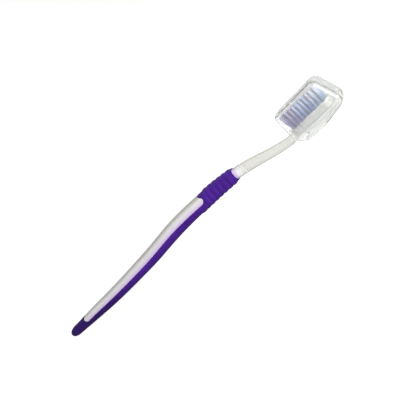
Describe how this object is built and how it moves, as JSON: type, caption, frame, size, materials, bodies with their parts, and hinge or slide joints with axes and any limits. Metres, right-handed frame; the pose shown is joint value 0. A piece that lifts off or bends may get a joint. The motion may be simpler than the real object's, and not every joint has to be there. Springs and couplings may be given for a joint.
{
  "type": "manual toothbrush",
  "caption": "Manual toothbrush with a clear two-shot handle, soft ribbed grip, angled neck, tufted head and a slip-on clear head cover.",
  "frame": {"origin": "on the table, under the middle of the brush's length, with the brush lying on its back", "axes": "+X from the butt of the handle towards the brush head and its cover, +Z the way the bristles point, up from the table"},
  "size_m": [0.197, 0.0144, 0.0209],
  "materials": {
    "clear_plastic": "polished clear plastic with a faint grey-olive tint",
    "purple_rubber": "satin soft rubber",
    "anchor_metal": "rolled flat strip",
    "cover_plastic": "thin clear moulded plastic, slightly milky",
    "violet_nylon": "nylon filaments",
    "blue_nylon": "nylon filaments",
    "teal_nylon": "nylon filaments"
  },
  "bodies": {
    "brush": {"handle": "clear_plastic", "rubber_overmould": "purple_rubber", "tuft_anchors": "anchor_metal", "tuft_1_1": "violet_nylon", "tuft_1_2": "violet_nylon", "tuft_1_3": "violet_nylon", "tuft_2_1": "violet_nylon", "tuft_2_2": "violet_nylon", "tuft_2_3": "violet_nylon", "tuft_2_4": "violet_nylon", "tuft_3_1": "violet_nylon", "tuft_3_2": "violet_nylon", "tuft_3_3": "violet_nylon", "tuft_3_4": "violet_nylon", "tuft_4_1": "blue_nylon", "tuft_4_2": "blue_nylon", "tuft_4_3": "blue_nylon", "tuft_4_4": "blue_nylon", "tuft_5_1": "blue_nylon", "tuft_5_2": "blue_nylon", "tuft_5_3": "blue_nylon", "tuft_5_4": "blue_nylon", "tuft_6_1": "blue_nylon", "tuft_6_2": "blue_nylon", "tuft_6_3": "blue_nylon", "tuft_6_4": "blue_nylon", "tuft_7_1": "blue_nylon", "tuft_7_2": "blue_nylon", "tuft_7_3": "blue_nylon", "tuft_7_4": "blue_nylon", "tuft_8_1": "teal_nylon", "tuft_8_2": "teal_nylon", "tuft_8_3": "teal_nylon", "tuft_8_4": "teal_nylon", "tuft_9_1": "teal_nylon", "tuft_9_2": "teal_nylon", "tuft_9_3": "teal_nylon", "tuft_9_4": "teal_nylon", "tuft_10_1": "teal_nylon", "tuft_10_2": "teal_nylon", "tuft_10_3": "teal_nylon"},
    "cover": {"head_cover": "cover_plastic"}
  },
  "joints": [
    {"name": "cover_slide", "type": "slide", "parent": "brush", "child": "cover", "axis": [0.999, 0, 0.0436], "range_m": [0, 0.035]}
  ]
}
